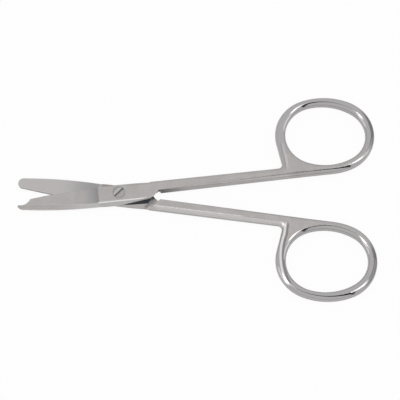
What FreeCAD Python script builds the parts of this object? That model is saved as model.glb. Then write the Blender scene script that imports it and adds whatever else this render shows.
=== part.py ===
import FreeCAD, Part
import math
import os

os.makedirs("parts", exist_ok=True)

# Suture scissors, lying part open on their flat side. All lengths are in millimetres.
# The origin is on the screw's axis at the resting plane, X runs towards the finger rings and Z is up.
# Each half is first made lying on top, in its own frame: X from the pivot, Y from the parting line
# where the two closed shanks meet, Z from the resting plane. The lower half is then turned over.

# The whole tool
thickness = 2.3
ride_gap = 0.02
hook_half_angle = 6.5
blunt_half_angle = 7.7
pivot_off_parting = 0.43

# Shank
shank_width = 2.74
outer_round = 1.03
wall_round_at_joint = 0.06
wall_round_end = 46.0

# Finger ring: its outline is an egg-shaped oval of four arcs, tilted in plan. The opening is such an
# oval too, each of its radii smaller than the outline's by a named step, and it lies a little off centre
ring_near_radius = 10.0
ring_far_radius = 9.9
ring_side_radius = 16.5
ring_spread = 4.7
ring_tilt = -6.0
ring_middle_x = 52.22
near_step = 2.12
far_step = 2.71
side_step = 3.2
opening_tilt = -8.0
opening_shift = (0.43, -0.07)
neck_lean = 6.5
neck_round = 1.1

# Joint block. Its near side runs from the heel over the waist to the tail and up to the wall.
# A small notch in the wall beside the tail opens the corner between the shanks
block_front = -5.0
block_back = 5.0
block_far_side = 2.5
block_edge_round = 0.12
rim_y = -1.62
front_y = -2.52
heel = (-1.8, -2.66)
heel_end = (1.2, -2.42)
waist = (3.0, -2.19)
tail_before = (7.2, -1.62)
tail = (8.35, -1.36)
wall_start = 9.75
notch_start = 9.3
notch_end = 10.3
notch_bottom = (9.73, 0.67)

# Shoulder where the recess under the block ramps out to the full thickness
ramp_turn = 26.0
ramp_foot = 7.12
ramp_run = 1.8
ramp_clearance = 0.2
relief_start = (0.8, 2.52)
relief_end = (7.47, 1.09)
relief_slope = 41.5

# Blades: the flat inner faces slide on each other, the outer faces are ground
blade_reach = 24.97
hook_edge_bow = 0.26
blunt_edge_bow = 0.16
back_bow = 0.37
hollow_length = 2.7
ridge_drop = 0.35
ridge_y = -1.8
edge_y = 2.4
edge_thickness = 0.45
tip_ridge_thickness = 0.55
tip_ridge_y = -0.5
tip_edge_y = 1.6
tip_edge_thickness = 0.4

# Bevel ground along the back, given by its foot and by how far it leans in, at three places
back_land = 0.08
bevel_foot_y = -2.6
bevel_middle = 0.47
bevel_middle_foot_y = -2.17
bevel_middle_run = 2.1
bevel_past_tip = 1.0
bevel_end_foot_y = -0.6
bevel_end_run = 2.3

# Hook blade's tip, each point by its way back from the tip and its Y: the end of the cutting edge,
# the crescent notch, the beak and the curve under the beak
hook_edge_end = (3.27, 1.4)
hook_notch_radius = 2.7
hook_beak_root = (1.31, -0.05)
hook_beak_top = (0.33, 0.03)
hook_nose_middle = (0.09, -0.03)
hook_nose = (0.0, -0.13)
hook_chin = (0.42, -0.72)
hook_back_end = (1.5, -1.19)

# Blunt blade's tip, given in the same way
blunt_edge_end = (1.6, 1.12)
blunt_nose = (0.0, -0.125)
blunt_back_end = (1.4, -1.56)

# Joint screw
head_diameter = 2.9
head_height = 0.6
neck_diameter = 1.9
thread_diameter = 1.6
head_clearance = 0.06
neck_clearance = 0.03
slot_width = 0.36
slot_depth = 0.32
slot_turn = 46.0

# The blades slide at ride_height. Cutters reach past the metal by beyond, the long ones by far_away
mid_height = thickness / 2
ride_height = mid_height + ride_gap / 2
sliver = 0.01
beyond = 5.0
far_away = 60.0
X_axis = FreeCAD.Vector(1, 0, 0)
Z_axis = FreeCAD.Vector(0, 0, 1)


def at(x, y, z=0.0):
    return FreeCAD.Vector(x, y, z)


def line(a, b):
    return Part.LineSegment(a, b).toShape()


def arc(a, middle, b):
    return Part.Arc(a, middle, b).toShape()


def polygon(points):
    return Part.Face(Part.makePolygon(points + points[:1]))


def prism(face, z_low, z_high):
    solid = face.extrude(at(0, 0, z_high - z_low))
    solid.translate(at(0, 0, z_low))
    return solid


def bowed(a, b, bow):
    """A shallow arc from a to b that stands out by the bow, to the left of the way from a to b."""
    chord = b - a
    side = at(-chord.y, chord.x).normalize()
    return arc(a, (a + b) * 0.5 + side * bow, b)


def ruled(sections):
    """A solid with straight rulings between flat sections of the same make-up, facing outwards."""
    solid = Part.makeLoft(sections, True, True)
    if solid.Volume < 0:
        solid.reverse()
    return solid


# Rounding tools

def corner_section(x, y, radius, out, z_corner, z_in):
    """What a round of this radius takes off a corner, in the plane at x.
    out is +1 or -1 for the side of Y the corner faces, z_in is the way from the corner into the metal."""
    corner = at(x, y + out * sliver, z_corner - z_in * sliver)
    on_top = at(x, y - out * radius, z_corner - z_in * sliver)
    top_start = at(x, y - out * radius, z_corner)
    side_end = at(x, y, z_corner + z_in * radius)
    beside = at(x, y + out * sliver, z_corner + z_in * radius)
    slant = radius * (1 - math.sqrt(0.5))
    middle = at(x, y - out * slant, z_corner + z_in * slant)
    edges = [
        line(corner, on_top),
        line(on_top, top_start),
        arc(top_start, middle, side_end),
        line(side_end, beside),
        line(beside, corner),
    ]
    return Part.Wire(edges)


def growing_round(x_a, y_a, radius_a, x_b, y_b, radius_b, out, z_corner, z_in):
    """Cutter for an edge round whose radius grows evenly from one end to the other."""
    section_a = corner_section(x_a, y_a, radius_a, out, z_corner, z_in)
    section_b = corner_section(x_b, y_b, radius_b, out, z_corner, z_in)
    return ruled([section_a, section_b])


# Finger ring and shank

def heading(a, b):
    """Direction from a to b in degrees."""
    return math.degrees(math.atan2(b.y - a.y, b.x - a.x))


def oval(near_radius, far_radius, side_radius, spread, tilt):
    """Four arcs about the origin by name: centre, radius, start and end angle."""
    to_near = side_radius - near_radius
    to_far = side_radius - far_radius
    half = spread / 2
    along = (to_near ** 2 - to_far ** 2) / (2 * spread)
    across = math.sqrt(to_near ** 2 - (along + half) ** 2)
    turn = FreeCAD.Rotation(Z_axis, tilt)
    near = turn.multVec(at(-half, 0))
    far = turn.multVec(at(half, 0))
    top = turn.multVec(at(along, -across))
    bottom = turn.multVec(at(along, across))
    top_start = heading(top, far)
    top_end = heading(top, near)
    bottom_start = heading(bottom, near) + 360
    bottom_end = heading(bottom, far) + 360
    return {
        "far": (far, far_radius, bottom_end - 360, top_start),
        "top": (top, side_radius, top_start, top_end),
        "near": (near, near_radius, top_end, bottom_start),
        "bottom": (bottom, side_radius, bottom_start, bottom_end),
    }


def moved(arcs, shift):
    return {name: (values[0] + shift,) + values[1:] for name, values in arcs.items()}


def ring_ovals():
    """The ring's outline, which just touches the parting line, and its opening."""
    outline = oval(ring_near_radius, ring_far_radius, ring_side_radius, ring_spread, ring_tilt)
    opening = oval(
        ring_near_radius - near_step, ring_far_radius - far_step, ring_side_radius - side_step,
        ring_spread, opening_tilt,
    )
    middle = at(ring_middle_x, ring_side_radius - outline["bottom"][0].y)
    return moved(outline, middle), moved(opening, middle + at(*opening_shift))


def ring_edge(centre, radius, start, end):
    return Part.makeCircle(radius, centre, Z_axis, start, end)


def handle():
    """Shank and ring at full thickness, with every edge rounded."""
    outside, inside = ring_ovals()
    near_centre, near_radius, near_start = outside["near"][:3]
    bottom_centre, bottom_radius = outside["bottom"][:2]
    bottom_end = outside["bottom"][3]
    neck_top = near_centre + FreeCAD.Rotation(Z_axis, neck_lean).multVec(at(-near_radius, 0))
    neck = at(neck_top.x + (neck_top.y - shank_width) * math.tan(math.radians(neck_lean)), shank_width)
    corner = at(block_back, 0)
    outer_corner = at(block_back, shank_width)
    outline = Part.Wire([
        line(corner, at(bottom_centre.x, 0)),
        ring_edge(bottom_centre, bottom_radius, 270, bottom_end),
        ring_edge(*outside["far"]),
        ring_edge(*outside["top"]),
        ring_edge(near_centre, near_radius, near_start, 180 + neck_lean),
        line(neck_top, neck),
        line(neck, outer_corner),
        line(outer_corner, corner),
    ])
    opening = Part.Wire([ring_edge(*values) for values in inside.values()])
    solid = prism(Part.Face(outline), 0, thickness)
    neck_middle = at(neck.x, neck.y, mid_height)
    at_neck = [e for e in solid.Edges if e.CenterOfMass.sub(neck_middle).Length < sliver]
    solid = solid.makeFillet(neck_round, at_neck)
    solid = solid.cut(prism(Part.Face(opening), 0, thickness))
    flat = [e for e in solid.Edges if e.BoundBox.ZLength < sliver and e.BoundBox.XMax > block_back + sliver]
    return solid.makeFillet(outer_round, flat)


def wall_strip():
    """The shank's inner side: a flat wall whose edges grow rounder towards the ring."""
    middle = shank_width / 2
    strip = Part.makeBox(wall_round_end - block_back, middle, thickness, at(block_back, 0, 0))
    for z_corner, z_in in ((thickness, -1), (0.0, 1)):
        cutter = growing_round(
            wall_start, 0, wall_round_at_joint, wall_round_end, 0, outer_round, -1, z_corner, z_in
        )
        strip = strip.cut(cutter)
    return strip


def shank_and_ring():
    side = Part.makeBox(
        wall_round_end - block_back, shank_width / 2 + beyond, thickness + 2 * beyond,
        at(block_back, -beyond, -beyond),
    )
    return handle().cut(side).fuse(wall_strip())


# Joint block and blade

def block_side():
    """The block's near side at the sliding face, from the blade's back to the start of the wall."""
    return [
        arc(at(block_front, front_y), at(*heel), at(*heel_end)),
        line(at(*heel_end), at(*waist)),
        line(at(*waist), at(*tail_before)),
        line(at(*tail_before), at(*tail)),
        line(at(*tail), at(wall_start, 0)),
    ]


def near_tip(point):
    """A point of the tip's outline from its way back from the tip and its Y."""
    return at(point[0] - blade_reach, point[1])


def hook_tip():
    """Crescent notch in the cutting edge, then a short blunt beak."""
    edge_end = near_tip(hook_edge_end)
    root = near_tip(hook_beak_root)
    beak_top = near_tip(hook_beak_top)
    nose = near_tip(hook_nose)
    half = (root - edge_end).Length / 2
    sag = hook_notch_radius - math.sqrt(hook_notch_radius ** 2 - half ** 2)
    return [
        bowed(edge_end, root, sag),
        line(root, beak_top),
        arc(beak_top, near_tip(hook_nose_middle), nose),
        arc(nose, near_tip(hook_chin), near_tip(hook_back_end)),
    ]


def round_tip():
    """Blunt end, rounded from the cutting edge to the back."""
    return [arc(near_tip(blunt_edge_end), near_tip(blunt_nose), near_tip(blunt_back_end))]


def upper_blank(tip, edge_bow):
    """Block and blade in plan, above the sliding face."""
    edge_end = tip[0].firstVertex(True).Point
    back_end = tip[-1].lastVertex(True).Point
    front = at(block_front, front_y)
    far_front = at(block_front, block_far_side)
    far_back = at(block_back, shank_width)
    middle_y = shank_width / 2
    outline = [bowed(far_front, edge_end, -edge_bow)] + tip
    outline += [bowed(back_end, front, -back_bow)] + block_side()
    outline += [
        line(at(wall_start, 0), at(wall_start, middle_y)),
        line(at(wall_start, middle_y), at(block_back, middle_y)),
        line(at(block_back, middle_y), far_back),
        line(far_back, far_front),
    ]
    return prism(Part.Face(Part.Wire(outline)), ride_height, thickness)


def face_line_height(x, y):
    """Height of the ground outer face: a ruled surface over the blade."""
    hollow_end = block_front - hollow_length
    ridge_height = thickness - ridge_drop
    joint_slope = (mid_height + edge_thickness - ridge_height) / (edge_y - ridge_y)
    at_joint = ridge_height + (y - ridge_y) * joint_slope
    tip_slope = (tip_edge_thickness - tip_ridge_thickness) / (tip_edge_y - tip_ridge_y)
    at_tip = mid_height + tip_ridge_thickness + (y - tip_ridge_y) * tip_slope
    share = (hollow_end - x) / (hollow_end + blade_reach)
    return at_joint + (at_tip - at_joint) * share


def face_section(y):
    """One side of the cutter that grinds the outer face, with the hollow next to the block."""
    start = block_front - hollow_length
    end = -blade_reach - beyond
    low = face_line_height(start, y)
    drop = thickness - low
    radius = (hollow_length ** 2 + drop ** 2) / (2 * drop)
    half = hollow_length / 2
    hollow_middle = low + radius - math.sqrt(radius ** 2 - half ** 2)
    top = thickness + beyond
    edges = [
        arc(at(block_front, y, thickness), at(start + half, y, hollow_middle), at(start, y, low)),
        line(at(start, y, low), at(end, y, face_line_height(end, y))),
        line(at(end, y, face_line_height(end, y)), at(end, y, top)),
        line(at(end, y, top), at(block_front, y, top)),
        line(at(block_front, y, top), at(block_front, y, thickness)),
    ]
    return Part.Wire(edges)


def outer_face_cutter():
    half_span = block_far_side + 1
    return ruled([face_section(-half_span), face_section(half_span)])


def bevel_section(x, foot_y, run):
    """Cutter section for the bevel along the back. run is how far it leans in over the upper half."""
    foot_z = ride_height + back_land
    lean = run / (thickness - ride_height)
    top = thickness + beyond
    outside = heel[1] - beyond
    points = [
        at(x, foot_y, foot_z),
        at(x, foot_y + lean * (top - foot_z), top),
        at(x, outside, top),
        at(x, outside, foot_z),
    ]
    return Part.makePolygon(points + points[:1])


def back_bevel_cutter():
    block_run = rim_y - heel[1]
    middle_x = block_front - bevel_middle * (blade_reach + block_front)
    sections = [
        bevel_section(wall_start, bevel_foot_y, block_run),
        bevel_section(block_front, bevel_foot_y, block_run),
        bevel_section(middle_x, bevel_middle_foot_y, bevel_middle_run),
        bevel_section(-blade_reach - bevel_past_tip, bevel_end_foot_y, bevel_end_run),
    ]
    return ruled(sections)


def turned_wedge(points, turn):
    """A prism with this outline in X and Z, running along Y and turned about the upright axis."""
    face = polygon([at(x, -far_away, z) for x, z in points])
    wedge = face.extrude(at(0, 2 * far_away, 0))
    wedge.rotate(at(0, 0), Z_axis, turn)
    return wedge


def recess_cutter():
    """Takes away the lower layer under block and blade, out to the slanted ramp."""
    slope = ramp_run / mid_height
    points = [
        (-far_away, -beyond),
        (-far_away, ride_height),
        (ramp_foot, ride_height),
        (ramp_foot + slope * (ride_height + beyond), -beyond),
    ]
    return turned_wedge(points, ramp_turn)


def notch_cutter():
    """Small notch in the shank's wall beside the ramp's head, next to where the block's tail ends."""
    points = [at(notch_start, 0), at(notch_end, 0), at(*notch_bottom)]
    return prism(polygon(points), -beyond, ride_height)


def tail_cutter():
    """Undercuts the block's end so that it clears the other half's ramp when the tool is closed."""
    slope = ramp_run / mid_height
    foot = ramp_foot - ramp_clearance
    points = [
        (foot, mid_height),
        (foot + slope * (mid_height + beyond), thickness + beyond),
        (far_away, thickness + beyond),
        (far_away, mid_height),
    ]
    own_side = Part.makeBox(
        2 * far_away, far_away, thickness + 2 * beyond,
        at(-far_away, -far_away, -beyond),
    )
    return turned_wedge(points, -ramp_turn).common(own_side)


def relief_cutter():
    """Bevel along the outer side of the recess, widest where it ends at the foot of the ramp."""
    end = at(*relief_end)
    rise = beyond * math.tan(math.radians(relief_slope))
    section = [at(0, 0, ride_height), at(0, beyond, ride_height + rise), at(0, beyond, ride_height)]
    wedge = polygon(section).extrude(at(-far_away, 0, 0))
    wedge.rotate(at(0, 0), Z_axis, heading(at(*relief_start), end))
    wedge.translate(end)
    return wedge


def make_half(tip, edge_bow, pivot_y):
    upper = upper_blank(tip, edge_bow)
    upper = upper.cut(outer_face_cutter())
    upper = upper.cut(back_bevel_cutter())
    far_round = growing_round(
        block_front, block_far_side, block_edge_round,
        block_back, shank_width, outer_round,
        1, thickness, -1,
    )
    upper = upper.cut(far_round)
    body = shank_and_ring().cut(recess_cutter()).cut(notch_cutter()).fuse(upper)
    body = body.cut(tail_cutter())
    body = body.cut(relief_cutter())
    body = body.removeSplitter()
    body.translate(at(0, -pivot_y, 0))
    return body


def turned_over(half):
    flipped = half.copy()
    flipped.rotate(at(0, 0, mid_height), X_axis, 180)
    return flipped


# The three pieces

def hook_blade_half():
    half = make_half(hook_tip(), hook_edge_bow, pivot_off_parting)
    seat = thickness - head_height
    half = half.cut(Part.makeCylinder(neck_diameter / 2 + neck_clearance, thickness, at(0, 0, 0)))
    half = half.cut(Part.makeCylinder(head_diameter / 2 + head_clearance, thickness, at(0, 0, seat)))
    half.rotate(at(0, 0), Z_axis, hook_half_angle)
    return half


def blunt_blade_half():
    half = turned_over(make_half(round_tip(), blunt_edge_bow, -pivot_off_parting))
    half = half.cut(Part.makeCylinder(thread_diameter / 2, thickness, at(0, 0, 0)))
    half.rotate(at(0, 0), Z_axis, -blunt_half_angle)
    return half


def joint_screw():
    seat = thickness - head_height + ride_gap
    neck_foot = mid_height - ride_gap / 2
    head = Part.makeCylinder(head_diameter / 2, thickness - seat, at(0, 0, seat))
    neck = Part.makeCylinder(neck_diameter / 2, seat - neck_foot, at(0, 0, neck_foot))
    thread = Part.makeCylinder(thread_diameter / 2, neck_foot, at(0, 0, 0))
    screw = head.fuse(neck).fuse(thread)
    slot = Part.makeBox(2 * head_diameter, slot_width, head_height)
    slot.translate(at(-head_diameter, -slot_width / 2, thickness - slot_depth))
    slot.rotate(at(0, 0), Z_axis, slot_turn)
    return screw.cut(slot).removeSplitter()


pieces = {
    "hook_blade_half": hook_blade_half(),
    "blunt_blade_half": blunt_blade_half(),
    "joint_screw": joint_screw(),
}
for name, shape in pieces.items():
    solid = shape.Solids[0]
    solid.exportStep("parts/" + name + ".step")
    box = solid.BoundBox
    print(
        name, "valid", solid.isValid(), "solids", len(shape.Solids), "volume", round(solid.Volume, 2),
        "X", round(box.XMin, 2), round(box.XMax, 2), "Y", round(box.YMin, 2), round(box.YMax, 2),
        "Z", round(box.ZMin, 3), round(box.ZMax, 3),
    )
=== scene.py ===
import math

import bpy
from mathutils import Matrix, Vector

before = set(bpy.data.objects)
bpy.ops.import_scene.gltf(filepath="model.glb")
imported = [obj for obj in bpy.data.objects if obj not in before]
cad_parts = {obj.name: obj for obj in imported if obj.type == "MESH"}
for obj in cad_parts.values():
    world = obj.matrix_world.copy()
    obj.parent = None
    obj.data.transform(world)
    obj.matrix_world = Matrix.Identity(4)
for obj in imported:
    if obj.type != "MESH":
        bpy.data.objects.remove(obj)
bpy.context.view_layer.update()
print("frame loaded:", ", ".join(sorted(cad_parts)))


# Small helpers for building node trees. Any input may be a number, a colour or another node's output

def addNode(tree, kind, **settings):
    node = tree.nodes.new(kind)
    for name, value in settings.items():
        setattr(node, name, value)
    return node


def feed(tree, socket, value):
    if hasattr(value, "is_output"):
        tree.links.new(value, socket)
    else:
        socket.default_value = value


def calc(tree, operation, first, second=0.0):
    node = addNode(tree, "ShaderNodeMath", operation=operation)
    feed(tree, node.inputs[0], first)
    feed(tree, node.inputs[1], second)
    return node.outputs[0]


def fade(tree, value, start, end, low=0.0, high=1.0):  # smooth step from low to high
    node = addNode(tree, "ShaderNodeMapRange", interpolation_type="SMOOTHSTEP")
    feed(tree, node.inputs["Value"], value)
    ends = (("From Min", start), ("From Max", end), ("To Min", low), ("To Max", high))
    for name, number in ends:
        node.inputs[name].default_value = number
    return node.outputs["Result"]


def band(tree, value, start, end, softness):  # 1 between start and end, with soft sides
    rise = fade(tree, value, start - softness, start + softness)
    fall = fade(tree, value, end - softness, end + softness, 1.0, 0.0)
    return calc(tree, "MULTIPLY", rise, fall)


def product(tree, *values):
    total = values[0]
    for value in values[1:]:
        total = calc(tree, "MULTIPLY", total, value)
    return total


def without(tree, mask):
    return calc(tree, "SUBTRACT", 1.0, mask)


def blendColour(tree, share, first, second, mode="MIX"):
    node = addNode(tree, "ShaderNodeMix", data_type="RGBA", blend_type=mode)
    feed(tree, node.inputs["Factor"], share)
    feed(tree, node.inputs["A"], first)
    feed(tree, node.inputs["B"], second)
    return node.outputs["Result"]


def blendNumber(tree, share, first, second):
    node = addNode(tree, "ShaderNodeMix", data_type="FLOAT")
    feed(tree, node.inputs["Factor"], share)
    feed(tree, node.inputs["A"], first)
    feed(tree, node.inputs["B"], second)
    return node.outputs["Result"]


def noise(tree, where, scale, detail=2.0, roughness=0.5):
    node = addNode(tree, "ShaderNodeTexNoise")
    feed(tree, node.inputs["Vector"], where)
    node.inputs["Scale"].default_value = scale
    node.inputs["Detail"].default_value = detail
    node.inputs["Roughness"].default_value = roughness
    return node.outputs["Fac"]


def stretched(tree, where, scale):
    node = addNode(tree, "ShaderNodeMapping")
    feed(tree, node.inputs["Vector"], where)
    node.inputs["Scale"].default_value = scale
    return node.outputs["Vector"]


def split(tree, vector):
    node = addNode(tree, "ShaderNodeSeparateXYZ")
    feed(tree, node.inputs[0], vector)
    return node.outputs["X"], node.outputs["Y"], node.outputs["Z"]


def grey(level, tint=(1.0, 1.0, 1.0)):
    return (level * tint[0], level * tint[1], level * tint[2], 1.0)


# Stainless steel of the two halves. Places are in millimetres in each half's own frame:
# along runs from the pivot to the ring, across from the parting line to the ring's far side, and
# height up to the half's outer face, which is the top of the hook half and the underside of the other

steel = {
    "thickness": 2.3,
    "pivotOffParting": 0.43,
    "satin": grey(0.485, (1.0, 0.955, 0.935)),
    "satinLight": grey(0.52, (1.0, 0.965, 0.95)),
    "polished": grey(0.50, (1.0, 0.98, 0.985)),
    "innerFace": grey(0.545, (1.0, 0.968, 0.96)),
    # painted shade near the other block and in the hollow behind the step
    "shaded": grey(0.38, (0.985, 0.985, 1.0)),
    # painted shade in the recess
    "scale": grey(0.065, (0.92, 0.96, 1.1)),
    # painted shade on upright sides, at the step and under the other block
    "paintedShade": grey(0.26, (1.0, 0.94, 0.9)),
    # painted shade on the wall behind the block and on the cutting edge
    "wallShade": grey(0.07, (1.0, 0.96, 0.94)),
    # painted dark reflection beside the ring's crest and painted shade round its far end
    "paintedDark": grey(0.14, (1.0, 0.99, 0.98)),
    # matt finish, made lighter as painted light
    "mattPaintedLight": grey(0.88, (1.0, 0.99, 0.985)),
    # painted highlights, and bright edge wear
    "highlightAndWear": grey(0.92, (1.0, 0.99, 0.98)),
    "mattMetallic": 0.15,
    "satinRoughness": 0.34,
    "grainRoughness": 0.05,  # how far the grain takes the satin's roughness up and down
    "roundRoughness": 0.22,
    "polishedRoughness": 0.09,
    "recessRoughness": 0.55,
    "cloud": (0.32, 3.0, 0.55),  # scale, detail and roughness of each noise
    "speck": (9.0, 2.0, 0.6),
    "grain": (1.6, 3.0, 0.6),
    "grainStretch": (0.9, 11.0, 11.0),
    "grainStrength": 0.25,
    "grainDepth": 0.000012,
    "polishedRelief": 0.5,  # level, so that polished steel has no grain
    "edgeRadius": 0.00007,
    "edgeWearAndHighlight": 0.7,
    "crestCentre": (52.0, 8.8),
    "crestRadii": (10.8, 13.7),
    "crestStraight": 5.3,
}

# Where each finish lies: two numbers are the ends of a soft step, three are a band and its softness.
# Level is 1 on flat faces and 0 on upright sides, and side is the way that a side faces
zones = {
    "flatLevel": (0.985, 0.998), "roundLevel": (0.9998, 0.9985), "uprightLevel": (0.5, 0.1),
    "ringAlong": (35.0, 41.0), "webAcross": (7.5, 5.5),
    "straightAcross": (3.4, 2.4), "straightAlong": (52.0, 47.0),
    "insideHeight": (1.05, 1.27, 0.03), "insideFacing": (-0.9, -0.99),
    "bladeAlong": (-4.7, -5.3), "nearBlockAlong": (-15.0, -6.0),
    "recessAlong": (0.6, 12.0, 0.8), "recessAcross": (2.4, 1.9), "contactAlong": (-4.6, -0.4, 0.4),
    "wallSide": (-0.75, -0.95), "wallAlong": (17.5, 8.5), "wallStart": (9.0, 9.6),
    "mattSide": (-0.7, -0.85), "mattAlong": (-5.0, 9.3, 0.1), "mattHeight": (1.1, 1.2),
    "rimLevel": (0.2, 0.97, 0.02), "rimHeight": (2.0, 2.1), "rimAlong": (-5.2, 7.0, 0.1),
    "rimSide": (-0.2, -0.3),
    "cuttingSide": (0.8, 0.95), "cuttingAlong": (-11.0, -14.0), "cuttingTip": (-26.0, -17.0, 0.6, 1.0),
    "nearSide": (-0.04, -0.10), "hollowAlong": (-9.5, -5.2), "stepAlong": (-6.4, -5.1),
    "faceAlong": (-7.0, -15.0), "backAlong": (-16.0, -8.0),
    "lineLevel": (0.972, 0.9994, 0.0004), "lineDepth": (0.3, 0.2), "lineSide": (0.01, 0.03),
    "lineAlong": (8.5, 31.0, 1.0), "shankAlong": (9.0, 42.0, 1.5), "shankLevel": (0.1, 0.5),
    "endAim": (0.72, 0.97), "endLower": (0.45, 0.65), "endUpper": (0.9995, 0.985),
    "endAlong": (56.0, 59.0), "endDepth": (1.2, 1.0),
    "crestAlong": (46.5, 43.5), "crestDepth": (0.5, 0.3),
}

# How each half lies in the frame, and how strong the painted highlights on its shank are. The crest is
# the polished
# ridge on the near side of the ring: its painted highlight and painted dark reflection lines are
# (start, end, share)
hookHalf = {
    "name": "hookHalfSteel", "turn": 6.5, "pivotSide": 1.0, "turnedOver": False,
    "lineShine": 0.1, "sideFacing": (-0.04, -0.10), "sideShine": 0.18,
    "crestLight": (-0.5, 0.0, 0.25), "crestDark": (0.05, 0.4, 0.22), "crestAcross": (2.2, 9.0, 0.6),
}
bluntHalf = {
    "name": "bluntHalfSteel", "turn": -7.7, "pivotSide": -1.0, "turnedOver": True,
    "lineShine": 0.9, "sideFacing": (0.04, 0.10), "sideShine": 0.38,
    "crestLight": (0.02, 0.5, 0.95), "crestDark": (-0.6, -0.12, 0.6), "crestAcross": (2.2, 18.0, 0.6),
}


def halfFrame(tree, half):  # place and facing in the half's own frame
    where = addNode(tree, "ShaderNodeTexCoord")
    results = []
    for output, size, kind in (("Object", 1000.0, "POINT"), ("Normal", 1.0, "NORMAL")):
        back = addNode(tree, "ShaderNodeMapping", vector_type=kind)
        tree.links.new(where.outputs[output], back.inputs["Vector"])
        back.inputs["Rotation"].default_value = (0.0, 0.0, -math.radians(half["turn"]))
        back.inputs["Scale"].default_value = (size, size, size)
        results.append(back.outputs["Vector"])
    place, facing = results
    along, across, height = split(tree, place)
    facingAlong, facingAcross, facingUp = split(tree, facing)
    fromTop = calc(tree, "SUBTRACT", steel["thickness"], height)
    if half["turnedOver"]:
        height = fromTop
        across = calc(tree, "MULTIPLY", across, -1.0)
        facingAcross = calc(tree, "MULTIPLY", facingAcross, -1.0)
        facingUp = calc(tree, "MULTIPLY", facingUp, -1.0)
    across = calc(tree, "ADD", across, half["pivotSide"] * steel["pivotOffParting"])
    return place, (along, across, height), fromTop, (facingAlong, facingAcross, facingUp)


def crestOffset(tree, along, across):  # millimetres outward from the crest of the ring
    parts = []
    across = calc(tree, "MAXIMUM", across, steel["crestStraight"])
    for value, centre, radius in zip((along, across), steel["crestCentre"], steel["crestRadii"]):
        share = calc(tree, "DIVIDE", calc(tree, "SUBTRACT", value, centre), radius)
        parts.append(calc(tree, "MULTIPLY", share, share))
    reach = calc(tree, "SQRT", calc(tree, "ADD", *parts))
    return calc(tree, "MULTIPLY", calc(tree, "SUBTRACT", reach, 1.0), steel["crestRadii"][0])


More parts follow.
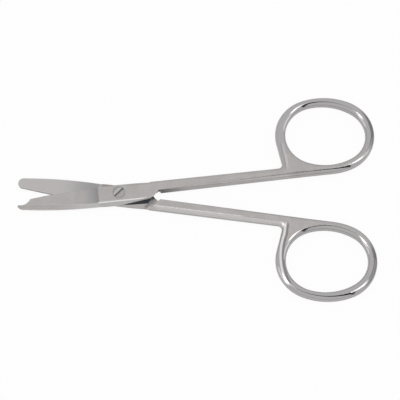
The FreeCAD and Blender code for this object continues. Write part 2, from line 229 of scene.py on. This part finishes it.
def steelMaterial(half):
    material = bpy.data.materials.new(half["name"])
    material.use_nodes = True
    tree = material.node_tree
    shader = tree.nodes["Principled BSDF"]
    place, spot, fromTop, facing = halfFrame(tree, half)
    along, across, height = spot
    facingAlong, facingAcross, facingUp = facing
    level = calc(tree, "ABSOLUTE", facingUp)

    def ramp(value, zone):
        return fade(tree, value, *zones[zone])

    def strip(value, zone):
        return band(tree, value, *zones[zone])

    # Polished ring, outside the flat web and the straight side beside the parting line
    flat = ramp(level, "flatLevel")
    web = product(tree, flat, ramp(across, "webAcross"))
    straightSide = product(tree, ramp(across, "straightAcross"), ramp(along, "straightAlong"))
    polish = product(tree, ramp(along, "ringAlong"), without(tree, web), without(tree, straightSide))

    # Inner side: the blade's inner face, painted shade in the dark recess and painted shade on the
    # patch under the other block
    inside = product(tree, strip(height, "insideHeight"), ramp(facingUp, "insideFacing"))
    blade = ramp(along, "bladeAlong")
    innerFace = product(tree, inside, blade)
    nearBlock = product(tree, blade, ramp(along, "nearBlockAlong"))
    recess = product(tree, inside, strip(along, "recessAlong"), ramp(across, "recessAcross"))
    contact = product(tree, inside, strip(along, "contactAlong"))

    # Block: painted shade on the wall behind it, a matt near side with its shoulder made lighter as
    # painted light, and a painted highlight line along its rim
    wall = product(tree, ramp(facingAcross, "wallSide"), ramp(along, "wallAlong"),
                   ramp(along, "wallStart"))
    mattPaintedLight = product(tree, ramp(facingAcross, "mattSide"), strip(along, "mattAlong"),
                   ramp(height, "mattHeight"))
    rimLine = product(tree, strip(level, "rimLevel"), ramp(height, "rimHeight"),
                      strip(along, "rimAlong"), ramp(facingAcross, "rimSide"))

    # Blade: painted shade on the cutting edge and in the hollow behind the step, and painted light on
    # the face and back
    cuttingEdge = product(tree, ramp(facingAcross, "cuttingSide"), ramp(along, "cuttingAlong"),
                          ramp(along, "cuttingTip"))
    face = without(tree, inside)
    nearSide = ramp(facingAcross, "nearSide")
    hollow = product(tree, blade, ramp(along, "hollowAlong"), face, without(tree, nearSide))
    stepShade = product(tree, hollow, ramp(along, "stepAlong"))
    bladeFace = product(tree, flat, blade, face, ramp(along, "faceAlong"))
    backBand = product(tree, blade, face, nearSide, ramp(along, "backAlong"))

    # Shank: painted highlight line along its edge, painted highlight on the rounded part of its sides,
    # and the upright parts of the sides
    shankLine = product(tree, strip(level, "lineLevel"), ramp(fromTop, "lineDepth"),
                        ramp(facingAcross, "lineSide"), strip(along, "lineAlong"))
    shankSide = product(tree, fade(tree, facingAcross, *half["sideFacing"]),
                        strip(along, "shankAlong"), ramp(level, "shankLevel"))
    upright = ramp(level, "uprightLevel")

    # Ring: painted shade as a dark band round its far end, and a painted highlight line and a painted
    # dark reflection line beside its crest
    sideways = calc(tree, "SQRT", calc(tree, "SUBTRACT", 1.0001, calc(tree, "MULTIPLY", level, level)))
    ringEnd = product(tree, ramp(calc(tree, "DIVIDE", facingAlong, sideways), "endAim"),
                      ramp(level, "endLower"), ramp(level, "endUpper"),
                      ramp(along, "endAlong"), ramp(fromTop, "endDepth"))
    offset = crestOffset(tree, along, across)
    crest = product(tree, ramp(along, "crestAlong"), ramp(fromTop, "crestDepth"),
                    band(tree, across, *half["crestAcross"]))
    lightStart, lightEnd, lightShare = half["crestLight"]
    darkStart, darkEnd, darkShare = half["crestDark"]
    crestLight = product(tree, crest, band(tree, offset, lightStart, lightEnd, 0.1))
    crestDark = product(tree, crest, band(tree, offset, darkStart, darkEnd, 0.1))

    # Satin with a cloudy tone and a fine lengthwise grain, and each finish, painted shade and painted
    # light laid over it in turn
    cloud = noise(tree, place, *steel["cloud"])
    speck = noise(tree, place, *steel["speck"])
    grain = noise(tree, stretched(tree, place, steel["grainStretch"]), *steel["grain"])
    tone = blendColour(tree, fade(tree, cloud, 0.32, 0.68), steel["satin"], steel["satinLight"])
    layers = [
        (innerFace, 1.0, "innerFace"),
        # painted shade on the inner face near the other block, in the hollow and at the step
        (product(tree, nearBlock, innerFace), 1.0, "shaded"),
        (hollow, 1.0, "shaded"),
        (stepShade, 0.35, "paintedShade"),
        # painted light on the blade's back band and on its flat face towards the tip
        (backBand, 0.25, "highlightAndWear"),
        (bladeFace, 0.08, "highlightAndWear"),
        # painted highlights along the shank's edge and on its rounded sides
        (shankLine, half["lineShine"], "highlightAndWear"),
        (shankSide, half["sideShine"], "highlightAndWear"),
        (polish, 1.0, "polished"),
        # painted shade on upright sides
        (upright, 0.25, "paintedShade"),
        # painted shade on the wall behind the block
        (wall, 0.95, "wallShade"),
        # matt near side, made lighter as painted light
        (mattPaintedLight, 1.0, "mattPaintedLight"),
        # painted shade under the other block
        (contact, 0.75, "paintedShade"),
        # painted highlight along the block's rim
        (rimLine, 1.0, "highlightAndWear"),
        # painted shade in the recess
        (recess, 1.0, "scale"),
        # painted shade on the cutting edge
        (cuttingEdge, 1.0, "wallShade"),
        # painted highlight and painted dark reflection beside the ring's crest
        (crestLight, lightShare, "highlightAndWear"),
        (crestDark, darkShare, "paintedDark"),
        # painted shade round the ring's far end
        (ringEnd, 0.75, "paintedDark"),
    ]
    for mask, share, finish in layers:
        tone = blendColour(tree, calc(tree, "MULTIPLY", mask, share), tone, steel[finish])
    speckle = fade(tree, speck, 0.35, 0.65, 0.96, 1.03)
    tone = blendColour(tree, 1.0, tone, speckle, "MULTIPLY")

    # Bright line where an edge is sharp, partly edge wear and partly a painted highlight, broken up by
    # the grain
    bevel = addNode(tree, "ShaderNodeBevel", samples=6)
    bevel.inputs["Radius"].default_value = steel["edgeRadius"]
    surface = addNode(tree, "ShaderNodeNewGeometry")
    likeness = addNode(tree, "ShaderNodeVectorMath", operation="DOT_PRODUCT")
    tree.links.new(bevel.outputs["Normal"], likeness.inputs[0])
    tree.links.new(surface.outputs["Normal"], likeness.inputs[1])
    edge = fade(tree, likeness.outputs["Value"], 0.992, 0.94)
    edge = product(tree, edge, fade(tree, grain, 0.25, 0.6, 0.5, 1.0))
    edge = calc(tree, "MULTIPLY", edge, steel["edgeWearAndHighlight"])
    tree.links.new(blendColour(tree, edge, tone, steel["highlightAndWear"]), shader.inputs["Base Color"])

    # Roughness and the fine relief of the finish
    smoother = steel["satinRoughness"] - steel["grainRoughness"]
    rougher = steel["satinRoughness"] + steel["grainRoughness"]
    roughness = fade(tree, grain, 0.3, 0.7, smoother, rougher)
    roughness = blendNumber(tree, ramp(level, "roundLevel"), roughness, steel["roundRoughness"])
    roughness = blendNumber(tree, polish, roughness, steel["polishedRoughness"])
    roughness = blendNumber(tree, recess, roughness, steel["recessRoughness"])
    tree.links.new(roughness, shader.inputs["Roughness"])
    bump = addNode(tree, "ShaderNodeBump")
    bump.inputs["Strength"].default_value = steel["grainStrength"]
    bump.inputs["Distance"].default_value = steel["grainDepth"]
    tree.links.new(blendNumber(tree, polish, grain, steel["polishedRelief"]), bump.inputs["Height"])
    tree.links.new(bevel.outputs["Normal"], bump.inputs["Normal"])
    tree.links.new(bump.outputs["Normal"], shader.inputs["Normal"])
    metallic = fade(tree, mattPaintedLight, 0.0, 1.0, 1.0, steel["mattMetallic"])
    tree.links.new(metallic, shader.inputs["Metallic"])
    return material


# Joint screw: turned face with a painted highlight band, and painted shade round one side of its rim,
# in its slot and beside the slot, broken up by noise

screw = {
    "headRadius": 1.45,
    "face": grey(0.50, (1.0, 0.965, 0.95)),
    # painted highlight band on the turned face
    "shine": grey(0.64, (1.0, 0.985, 0.975)),
    "shineBand": (0.4, 0.8, 0.08),
    # painted shade round one side of the rim, in the slot and beside it
    "screwShade": grey(0.14, (1.0, 0.97, 0.95)),
    "roughness": 0.3,
    "darkRoughness": 0.5,
    "slotTurn": 46.0,
    "slotFloorHeight": 1.99,
    # half-width of the painted shade beside the slot
    "slotShadeWidth": 0.3,
    "rimFade": (-0.6, 1.2, 0.3, 0.75),  # the rim is darker on one side
    "turningLines": 5.5,  # rings per millimetre
    "turningStrength": 0.2,
    "turningDepth": 0.000006,
    "edgeRadius": 0.00005,
}


def screwMaterial():
    material = bpy.data.materials.new("screwSteel")
    material.use_nodes = True
    tree = material.node_tree
    shader = tree.nodes["Principled BSDF"]
    where = addNode(tree, "ShaderNodeTexCoord")
    place = stretched(tree, where.outputs["Object"], (1000.0, 1000.0, 1000.0))
    x, y, z = split(tree, place)
    fromAxis = addNode(tree, "ShaderNodeVectorMath", operation="LENGTH")
    across = addNode(tree, "ShaderNodeCombineXYZ")
    tree.links.new(x, across.inputs["X"])
    tree.links.new(y, across.inputs["Y"])
    tree.links.new(across.outputs[0], fromAxis.inputs[0])
    radius = fromAxis.outputs["Value"]

    # painted shade round one side of the rim, in the slot and beside it, broken up by noise
    rim = fade(tree, radius, screw["headRadius"] - 0.2, screw["headRadius"] - 0.02)
    slotFloor = screw["slotFloorHeight"]
    slot = band(tree, z, slotFloor + 0.03, slotFloor + 0.3, 0.02)
    turn = math.radians(screw["slotTurn"])
    aside = calc(tree, "SUBTRACT", calc(tree, "MULTIPLY", y, math.cos(turn)),
                 calc(tree, "MULTIPLY", x, math.sin(turn)))
    slotEdgeShade = fade(tree, calc(tree, "ABSOLUTE", aside), screw["slotShadeWidth"] + 0.08,
                screw["slotShadeWidth"] - 0.1, 0.0, 0.5)
    screwShade = calc(tree, "MAXIMUM", product(tree, rim, fade(tree, aside, *screw["rimFade"])),
                 calc(tree, "MAXIMUM", slot, slotEdgeShade))
    mottle = noise(tree, place, 4.0)
    screwShade = calc(tree, "MULTIPLY", screwShade, fade(tree, mottle, 0.2, 0.6, 0.75, 1.0))
    # painted highlight band across the face
    face = blendColour(tree, band(tree, aside, *screw["shineBand"]), screw["face"], screw["shine"])
    tree.links.new(blendColour(tree, screwShade, face, screw["screwShade"]), shader.inputs["Base Color"])
    roughness = blendNumber(tree, screwShade, screw["roughness"], screw["darkRoughness"])
    tree.links.new(roughness, shader.inputs["Roughness"])

    rings = calc(tree, "SINE", calc(tree, "MULTIPLY", radius, screw["turningLines"] * 2 * math.pi))
    bump = addNode(tree, "ShaderNodeBump")
    bump.inputs["Strength"].default_value = screw["turningStrength"]
    bump.inputs["Distance"].default_value = screw["turningDepth"]
    tree.links.new(rings, bump.inputs["Height"])
    bevel = addNode(tree, "ShaderNodeBevel", samples=4)
    bevel.inputs["Radius"].default_value = screw["edgeRadius"]
    tree.links.new(bevel.outputs["Normal"], bump.inputs["Normal"])
    tree.links.new(bump.outputs["Normal"], shader.inputs["Normal"])
    shader.inputs["Metallic"].default_value = 1.0
    return material


def dress(node, material):
    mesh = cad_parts[node].data
    for index in range(len(mesh.materials)):
        mesh.materials[index] = material


dress("hook_blade_half", steelMaterial(hookHalf))
dress("blunt_blade_half", steelMaterial(bluntHalf))
dress("joint_screw", screwMaterial())
print("steel finishes done")


# Pale floor under the tool. The camera sees it close to white, the steel mirrors part of that white,
# and it keeps a soft shadow

floor = {"size": 3.0, "below": 0.00002, "colour": (0.86, 0.86, 0.86, 1.0), "roughness": 0.9,
         "whiteShare": 0.95, "whiteInGloss": 0.45}


def makeFloor():
    half = floor["size"] / 2
    corners = [(-half, -half, 0), (half, -half, 0), (half, half, 0), (-half, half, 0)]
    mesh = bpy.data.meshes.new("paleFloor")
    mesh.from_pydata(corners, [], [(0, 1, 2, 3)])
    plane = bpy.data.objects.new("paleFloor", mesh)
    bpy.context.scene.collection.objects.link(plane)
    plane.location.z = -floor["below"]
    material = bpy.data.materials.new("paleFloor")
    material.use_nodes = True
    tree = material.node_tree
    shader = tree.nodes["Principled BSDF"]
    shader.inputs["Base Color"].default_value = floor["colour"]
    shader.inputs["Roughness"].default_value = floor["roughness"]
    shader.inputs["Specular IOR Level"].default_value = 0.0
    glow = addNode(tree, "ShaderNodeEmission")
    path = addNode(tree, "ShaderNodeLightPath")
    mix = addNode(tree, "ShaderNodeMixShader")
    mirrored = calc(tree, "MULTIPLY", path.outputs["Is Glossy Ray"], floor["whiteInGloss"])
    seen = calc(tree, "MAXIMUM", path.outputs["Is Camera Ray"], mirrored)
    seen = calc(tree, "MAXIMUM", seen, path.outputs["Is Transmission Ray"])
    tree.links.new(calc(tree, "MULTIPLY", seen, floor["whiteShare"]), mix.inputs["Fac"])
    tree.links.new(shader.outputs[0], mix.inputs[1])
    tree.links.new(glow.outputs[0], mix.inputs[2])
    tree.links.new(mix.outputs[0], tree.nodes["Material Output"].inputs["Surface"])
    mesh.materials.append(material)


# Soft studio light: two wide side lamps, and a pale room whose ceiling has a dim strip and a bright
# patch on each side. Ceiling places are on a level plane one unit up, x to the right and y to the back

lampSize = (0.6, 0.9)
lamps = [
    {"name": "leftLamp", "place": (-0.9, -0.1, 0.5), "power": 0.75},
    {"name": "rightLamp", "place": (0.95, 0.1, 0.5), "power": 0.7},
]
room = {
    "colour": (0.80, 0.795, 0.795, 1.0),
    "horizon": (0.45, 0.44, 0.445, 1.0), "horizonFade": (0.24, 0.08),
    "dim": (0.02, 0.02, 0.03, 1.0), "dimAcross": (0.832, 0.555), "dimBand": (0.02, 0.22, 0.03),
    "dimBack": (0.3, 0.1), "dimReach": (0.6, 2.6, 1.0, 0.0),
    "bright": (2.9, 2.87, 2.85, 1.0), "brightSlope": 0.55, "brightBand": (0.19, 0.39, 0.04),
    "brightStart": (0.10, 0.24), "brightReach": (0.55, 0.85, 1.0, 0.0),
}


def makeLamps():
    target = Vector((0.02, 0.0, 0.0))
    for lamp in lamps:
        light = bpy.data.lights.new(lamp["name"], "AREA")
        light.shape = "RECTANGLE"
        light.size, light.size_y = lampSize
        light.energy = lamp["power"]
        holder = bpy.data.objects.new(lamp["name"], light)
        holder.location = lamp["place"]
        holder.rotation_euler = (target - holder.location).to_track_quat("-Z", "Y").to_euler()
        bpy.context.scene.collection.objects.link(holder)


def makeRoom():
    world = bpy.data.worlds.new("paleRoom")
    bpy.context.scene.world = world
    world.use_nodes = True
    tree = world.node_tree
    toward = addNode(tree, "ShaderNodeTexCoord")
    x, y, height = split(tree, toward.outputs["Generated"])
    upper = fade(tree, height, 0.0, 0.1)
    safeHeight = calc(tree, "MAXIMUM", height, 0.05)
    right = calc(tree, "DIVIDE", x, safeHeight)
    back = calc(tree, "DIVIDE", y, safeHeight)
    aside = calc(tree, "ABSOLUTE", right)
    dimAcross = calc(tree, "ADD", calc(tree, "MULTIPLY", right, room["dimAcross"][0]),
                     calc(tree, "MULTIPLY", back, room["dimAcross"][1]))
    dim = product(tree, upper, fade(tree, back, *room["dimBack"]),
                  fade(tree, aside, *room["dimReach"]), band(tree, dimAcross, *room["dimBand"]))
    slant = calc(tree, "ADD", back, calc(tree, "MULTIPLY", aside, room["brightSlope"]))
    bright = product(tree, upper, fade(tree, aside, *room["brightStart"]),
                     fade(tree, aside, *room["brightReach"]), band(tree, slant, *room["brightBand"]))
    horizon = fade(tree, height, *room["horizonFade"])
    colour = blendColour(tree, horizon, room["colour"], room["horizon"])
    colour = blendColour(tree, bright, colour, room["bright"])
    colour = blendColour(tree, dim, colour, room["dim"])
    tree.links.new(colour, tree.nodes["Background"].inputs["Color"])


makeFloor()
makeLamps()
makeRoom()
print("studio done")


# Camera at the photograph's angle, far enough for its mild perspective

camera = {"elevation": 66.0, "distance": 0.48, "aim": (0.0198, -0.00104, 0.0),
          "lens": 176.3, "sensor": 36.0, "clipStart": 0.01}


def makeCamera():
    data = bpy.data.cameras.new("camera")
    data.lens = camera["lens"]
    data.sensor_width = camera["sensor"]
    data.clip_start = camera["clipStart"]
    eye = bpy.data.objects.new("camera", data)
    rise = math.radians(camera["elevation"])
    aim = Vector(camera["aim"])
    eye.location = aim + camera["distance"] * Vector((0.0, -math.cos(rise), math.sin(rise)))
    eye.rotation_euler = (aim - eye.location).to_track_quat("-Z", "Y").to_euler()
    bpy.context.scene.collection.objects.link(eye)
    bpy.context.scene.camera = eye


makeCamera()
bpy.context.scene.view_settings.view_transform = "Standard"
print("camera done")
